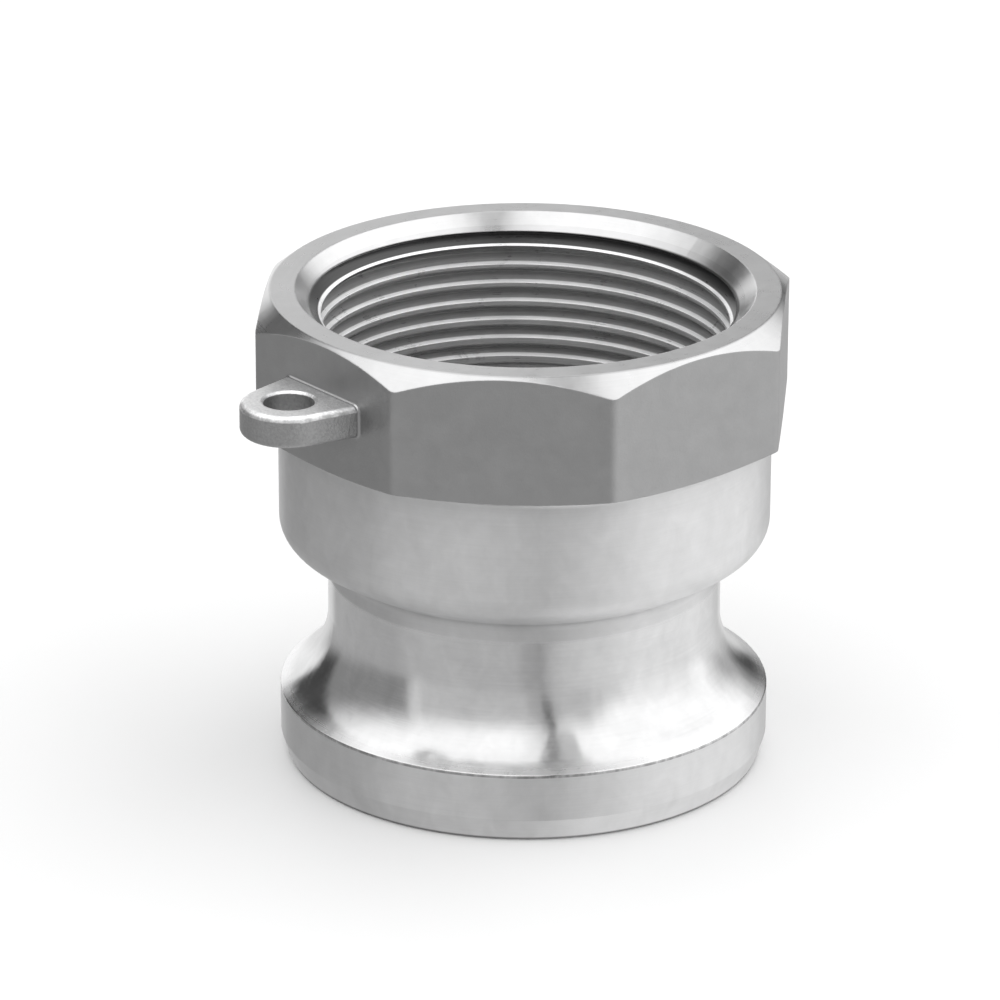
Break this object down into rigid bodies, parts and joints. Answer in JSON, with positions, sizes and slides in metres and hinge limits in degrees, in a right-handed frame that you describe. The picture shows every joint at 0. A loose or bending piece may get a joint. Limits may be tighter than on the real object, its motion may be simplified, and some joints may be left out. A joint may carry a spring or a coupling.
{
  "type": "camlock adapter",
  "caption": "Grooved male cam-and-groove hose adapter with an octagon head, a drilled security lug and a female taper pipe thread.",
  "frame": {"origin": "on the axis of the waterway, in the plane of the camlock end face, which is the face the part stands on", "axes": "+Z along the axis from the camlock end to the threaded mouth; the security lug points to -X; the octagon's flats face +X, -X, +Y, -Y and the four directions between"},
  "size_m": [0.0655, 0.0558, 0.0534],
  "materials": {
    "cast_stainless": "stainless investment casting: fine blasted skin on the octagon, collar and lug, turned and polished lip, groove, mouth and thread"
  },
  "bodies": {
    "root": {"adapter_body": "cast_stainless"}
  },
  "joints": []
}
